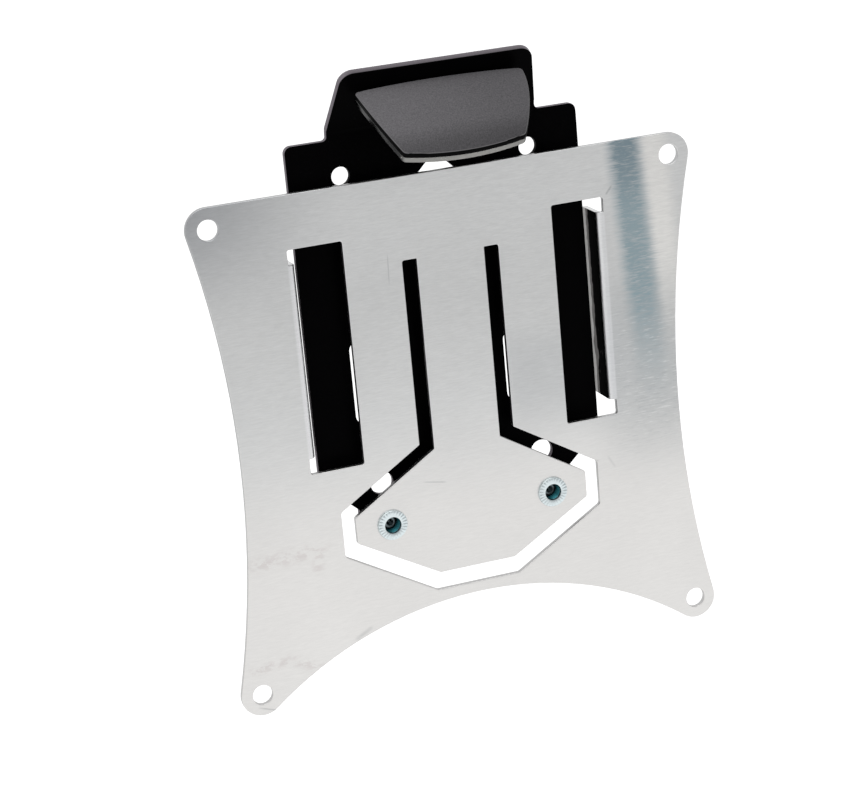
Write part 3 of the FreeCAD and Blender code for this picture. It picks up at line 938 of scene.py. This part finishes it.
class TAILTIDY_OT_bracket(bpy.types.Operator):
    """Rounds the bracket's edges and gives it a black powder coat"""

    bl_idname = "tailtidy.bracket"
    bl_label = "Tail Bracket"

    def execute(self, context):
        settings = context.scene.tail_tidy_sheets
        piece = merged_copy("tail_bracket", "coated_bracket")
        shrink_ear_holes(piece)
        round_edges(piece, settings.bracket_edge)
        piece.data.materials.append(powder_coat(settings))
        stand_in(piece, "tail_bracket", "bracket_black")
        return {"FINISHED"}


class TAILTIDY_OT_rivet_nuts(bpy.types.Operator):
    """Models the threaded rivet nuts with their notched flanges"""

    bl_idname = "tailtidy.rivet_nuts"
    bl_label = "Rivet Nuts"

    def execute(self, context):
        settings = context.scene.tail_tidy_fasteners
        bore = settings.nut_bore / MM
        lip = (bore + 0.15, -10.38)
        profile = [lip, (bore + 0.42, -10.5), (4.80, -10.5), (5.12, -10.40),
                   (5.25, -10.18), (5.25, -9.62), (5.15, -9.5), (3.5, -9.5), (3.5, -7.5),
                   (4.55, -7.5), (4.70, -7.32), (4.62, -7.0), (3.85, -5.4), (3.5, -4.9),
                   (3.5, -2.6), (3.4, -2.5), (2.6, -2.5)]
        profile += thread_rings(2.5, -0.30, settings.large_pitch / MM, -2.8, -9.2)
        profile += [(bore, -9.5), (bore, -10.05), lip]
        notches = settings.flange_notches
        piece = turned("rivet_nut_with_thread", (-LINK_X, LINK_Z), profile, 4 * notches)
        cut_notches(piece, notches, settings.notch_depth)
        piece.data.materials.append(zinc_plate(settings, "zinc_rivet_nut", settings.bore_shade_color))
        finish_pair(piece, "rivet_nut", "notched_rivet_nut", 2 * LINK_X, "zinc_plated_steel")
        return {"FINISHED"}


class TAILTIDY_OT_link_bolts(bpy.types.Operator):
    """Models the socket head bolts that hold the carrier from behind"""

    bl_idname = "tailtidy.link_bolts"
    bl_label = "Link Bolts"

    def execute(self, context):
        settings = context.scene.tail_tidy_fasteners
        profile = [(0.0, -5.0), (0.35, -5.2), (1.15, -6.60), (1.25, -6.70), (1.85, -6.70),
                   (2.2, -6.45)]
        profile += thread_rings(2.48, 0.36, settings.large_pitch / MM, -6.3, 0.2)
        profile += [(2.5, 0.6), (2.5, 1.0), (4.05, 1.0), (4.25, 1.15), (4.25, 1.5), (4.25, 5.4),
                    (4.05, 5.85), (3.8, 6.0), (0.0, 6.0)]
        piece = turned("socket_bolt_with_thread", (-LINK_X, LINK_Z), profile, 96)
        knurl(piece, 1.4, 5.5, 4.2, 96)
        socket = hexagon_bar((-LINK_X, LINK_Z), SOCKET_FLATS, 3.5, 6.5)
        combine(piece, socket, "DIFFERENCE")
        shade(piece, 30)
        # Painted shade: the bolt inside the nut's bore is given this darker tone
        piece.data.materials.append(zinc_plate(settings, "zinc_bolt", (0.16, 0.19, 0.20)))
        finish_pair(piece, "link_bolt", "socket_bolt", 2 * LINK_X, "zinc_plated_steel")
        return {"FINISHED"}


class TAILTIDY_OT_link_washers(bpy.types.Operator):
    """Models the flat washers with their stamped edges"""

    bl_idname = "tailtidy.link_washers"
    bl_label = "Flat Washers"

    def execute(self, context):
        settings = context.scene.tail_tidy_fasteners
        profile = [(2.62, 0.0), (4.80, 0.0), (5.0, 0.2), (5.0, 0.92), (4.92, 1.0), (2.75, 1.0),
                   (2.55, 0.85), (2.55, 0.08), (2.62, 0.0)]
        piece = turned("stamped_washer", (-LINK_X, LINK_Z), profile, 72)
        shade(piece, 40)
        piece.data.materials.append(zinc_plate(settings, "zinc_washer"))
        finish_pair(piece, "link_washer", "stamped_washer", 2 * LINK_X, "zinc_plated_steel")
        return {"FINISHED"}


class TAILTIDY_OT_studs(bpy.types.Operator):
    """Models the lamp's threaded studs"""

    bl_idname = "tailtidy.studs"
    bl_label = "Lamp Studs"

    def execute(self, context):
        settings = context.scene.tail_tidy_fasteners
        profile = [(0.0, -4.2), (1.9, -4.2), (2.0, -4.1), (2.0, 1.4)]
        profile += thread_rings(2.0, 0.30, settings.small_pitch / MM, 1.5, 7.8)
        profile += [(1.62, 8.4), (0.0, 8.4)]
        piece = turned("threaded_stud", (-STUD_X, STUD_Z), profile, 64)
        shade(piece, 30)
        piece.data.materials.append(zinc_plate(settings, "zinc_stud"))
        lean_out(piece)
        finish_pair(piece, "light_stud", "threaded_stud", 2 * STUD_X, "zinc_plated_steel")
        return {"FINISHED"}


class TAILTIDY_OT_nuts(bpy.types.Operator):
    """Models the hexagon nuts behind the leaning tab"""

    bl_idname = "tailtidy.nuts"
    bl_label = "Lamp Nuts"

    def execute(self, context):
        settings = context.scene.tail_tidy_fasteners
        piece = hexagon_bar((-STUD_X, STUD_Z), NUT_FLATS, 2.5, 5.7)
        profile = [(0.0, 2.5), (3.45, 2.5), (4.15, 2.9), (4.15, 5.3), (3.45, 5.7), (0.0, 5.7)]
        blank = turned("nut_blank", (-STUD_X, STUD_Z), profile, 72)
        combine(piece, blank, "INTERSECT")
        profile = [(0.0, 2.3), (2.25, 2.3), (2.02, 2.8), (2.02, 5.4), (2.25, 5.9), (0.0, 5.9)]
        bore = turned("nut_bore", (-STUD_X, STUD_Z), profile, 64)
        combine(piece, bore, "DIFFERENCE")
        shade(piece, 25)
        piece.data.materials.append(zinc_plate(settings, "zinc_nut"))
        lean_out(piece)
        finish_pair(piece, "light_nut", "hexagon_nut", 2 * STUD_X, "zinc_plated_steel")
        return {"FINISHED"}


class TAILTIDY_OT_lamp(bpy.types.Operator):
    """Finishes the lamp's hood, lens, gasket, cable bush and circuit board"""

    bl_idname = "tailtidy.lamp"
    bl_label = "Plate Lamp"

    def execute(self, context):
        settings = context.scene.tail_tidy_lamp
        rubber = black_rubber(settings)
        hood = hood_plastic(settings)
        lens = clear_plastic(settings)
        parts = (("light_housing", "lamp_hood", 0.22, hood, "light_housing_plastic"),
                 ("light_lens", "lamp_lens", 0.18, lens, "light_lens_clear"),
                 ("light_gasket", "lamp_gasket", 0.15, rubber, "black_rubber"),
                 ("cable_grommet", "cable_bush", 0.35, rubber, "black_rubber"))
        for node, name, width, material, slot in parts:
            piece = merged_copy(node, name)
            round_edges(piece, width * MM)
            piece.data.materials.append(material)
            stand_in(piece, node, slot)
        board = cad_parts["light_circuit_board"]
        board.data.materials.clear()
        board.data.materials.append(circuit_board_finish())
        return {"FINISHED"}


class TAILTIDY_OT_chips(bpy.types.Operator):
    """Models the three light emitting chips with their phosphor windows"""

    bl_idname = "tailtidy.chips"
    bl_label = "Light Chips"

    def execute(self, context):
        case = chip_case()
        gel = phosphor()
        for label, place in (("left", -1), ("middle", 0), ("right", 1)):
            piece = light_chip("diode_" + label, place * CHIP_PITCH)
            piece.data.materials.append(case)
            piece.data.materials.append(gel)
            lean_out(piece)
            stand_in(piece, "light_chip_" + label, "light_chip")
        return {"FINISHED"}


class TAILTIDY_OT_stage(bpy.types.Operator):
    """Adds the floor, the soft light overhead, the room light and a card for the reflections"""

    bl_idname = "tailtidy.stage"
    bl_label = "Stage"

    def execute(self, context):
        settings = context.scene.tail_tidy_stage
        low = cad_box[0][2] - settings.floor_drop
        deselect()
        bpy.ops.mesh.primitive_plane_add(size=24.0, location=(0, 0, low))
        floor = context.object
        floor.name = "floor"
        floor.data.materials.append(floor_paint())
        add_card("front_card", (0.35, -1.35, 0.45), (2.6, 1.5), (0.86, 0.86, 0.87))
        add_light("overhead_softbox", (-0.10, -0.35, 0.85), (0, -0.02, -0.05), 1.0, 0.8,
                  settings.key_power)
        world = bpy.data.worlds.new("studio")
        world.use_nodes = True
        tree = world.node_tree
        background = tree.nodes["Background"]
        path = tree.nodes.new("ShaderNodeLightPath")
        seen = None
        for ray in ("Is Camera Ray", "Is Glossy Ray", "Is Transmission Ray"):
            if seen is None:
                seen = path.outputs[ray]
            else:
                either = tree.nodes.new("ShaderNodeMath")
                either.operation = "MAXIMUM"
                tree.links.new(seen, either.inputs[0])
                tree.links.new(path.outputs[ray], either.inputs[1])
                seen = either.outputs[0]
        level = tree.nodes.new("ShaderNodeMapRange")
        level.inputs["To Min"].default_value = settings.world_level
        level.inputs["To Max"].default_value = 1.0
        tree.links.new(seen, level.inputs["Value"])
        tree.links.new(level.outputs["Result"], background.inputs["Strength"])
        background.inputs["Color"].default_value = (1, 1, 1, 1)
        context.scene.world = world
        context.scene.view_settings.view_transform = "Standard"
        return {"FINISHED"}


class TAILTIDY_PT_panel(bpy.types.Panel):
    """Lists the pieces of the tail tidy in the 3D view's sidebar"""

    bl_idname = "TAILTIDY_PT_panel"
    bl_label = "Tail Tidy"
    bl_space_type = "VIEW_3D"
    bl_region_type = "UI"
    bl_category = "Tail Tidy"

    def draw(self, context):
        for operator in OPERATORS:
            self.layout.operator(operator.bl_idname)
        for group in SETTINGS:
            settings = getattr(context.scene, group)
            box = self.layout.box()
            for key in settings.bl_rna.properties.keys():
                if key not in ("rna_type", "name"):
                    box.prop(settings, key)


SETTINGS = {
    "tail_tidy_sheets": SheetSettings,
    "tail_tidy_fasteners": FastenerSettings,
    "tail_tidy_lamp": LampSettings,
    "tail_tidy_stage": StageSettings,
}
OPERATORS = (
    TAILTIDY_OT_camera,
    TAILTIDY_OT_carrier,
    TAILTIDY_OT_bracket,
    TAILTIDY_OT_rivet_nuts,
    TAILTIDY_OT_link_bolts,
    TAILTIDY_OT_link_washers,
    TAILTIDY_OT_studs,
    TAILTIDY_OT_nuts,
    TAILTIDY_OT_lamp,
    TAILTIDY_OT_chips,
    TAILTIDY_OT_stage,
)


def register():
    for group in SETTINGS.values():
        bpy.utils.register_class(group)
    for operator in OPERATORS:
        bpy.utils.register_class(operator)
    bpy.utils.register_class(TAILTIDY_PT_panel)
    for name, group in SETTINGS.items():
        setattr(bpy.types.Scene, name, PointerProperty(type=group))


def unregister():
    for name in SETTINGS:
        delattr(bpy.types.Scene, name)
    bpy.utils.unregister_class(TAILTIDY_PT_panel)
    for operator in reversed(OPERATORS):
        bpy.utils.unregister_class(operator)
    for group in SETTINGS.values():
        bpy.utils.unregister_class(group)


def main():
    register()
    for operator in OPERATORS:
        group, call = operator.bl_idname.split(".")
        getattr(getattr(bpy.ops, group), call)()


if __name__ == "__main__":
    main()
